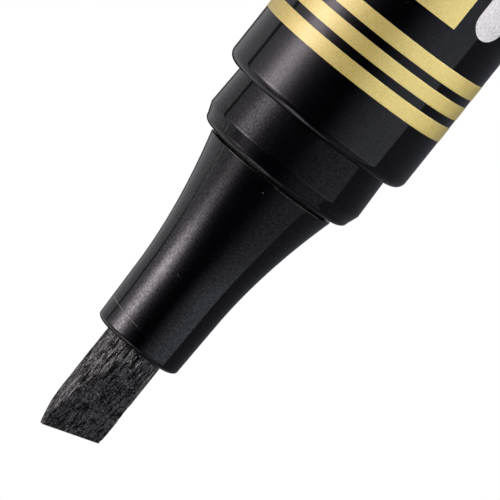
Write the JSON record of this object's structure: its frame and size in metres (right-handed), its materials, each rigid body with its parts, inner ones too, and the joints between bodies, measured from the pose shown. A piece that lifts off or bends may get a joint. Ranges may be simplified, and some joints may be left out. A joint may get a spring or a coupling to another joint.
{
  "type": "calligraphy marker",
  "caption": "Calligraphy marker with a broad slanted chisel nib; its cap, with a pocket clip, is pushed onto the tail and pulls off.",
  "frame": {"origin": "centre of the cap's flat end, which the marker stands on", "axes": "+Z along the pen's axis from the cap's flat end to the nib; -Y is the side of the pocket clip and of the printed panel; the nib's long corner is on the +X side"},
  "size_m": [0.012, 0.0139, 0.1481],
  "materials": {
    "barrel_gloss": "black, polished moulding",
    "front_satin": "black, slightly softer gloss",
    "seal_rubber": "matt black",
    "nib_felt": "bonded fibre soaked with black ink",
    "reservoir_fibre": "lengthwise fibres, inked",
    "film_clear": "thin clear film",
    "cap_gloss": "black, polished moulding",
    "liner_white": "natural polyethylene",
    "clip_gilt": "gold-coloured, fine satin",
    "gold_print": "metallic gold ink printed on the barrel",
    "silver_print": "metallic silver ink printed on the barrel"
  },
  "bodies": {
    "pen": {"barrel": "barrel_gloss", "front_collar": "front_satin", "collar_seal": "seal_rubber", "nib_holder": "front_satin", "nib": "nib_felt", "ink_reservoir": "reservoir_fibre", "reservoir_film": "film_clear", "tail_plug": "barrel_gloss"},
    "cap": {"cap_tube": "cap_gloss", "cap_crown": "cap_gloss", "inner_cap": "liner_white"},
    "clip": {"pocket_clip": "clip_gilt"}
  },
  "joints": [
    {"name": "cap_slide", "type": "slide", "parent": "cap", "child": "pen", "axis": [0, 0, 1], "range_m": [0, 0.04]},
    {"name": "clip_flex", "type": "hinge", "parent": "cap", "child": "clip", "pos_m": [0, -0.00559, 0.0095], "axis": [1, 0, 0], "range_deg": [0, 5], "stiffness_Nm_per_rad": 0.02}
  ]
}
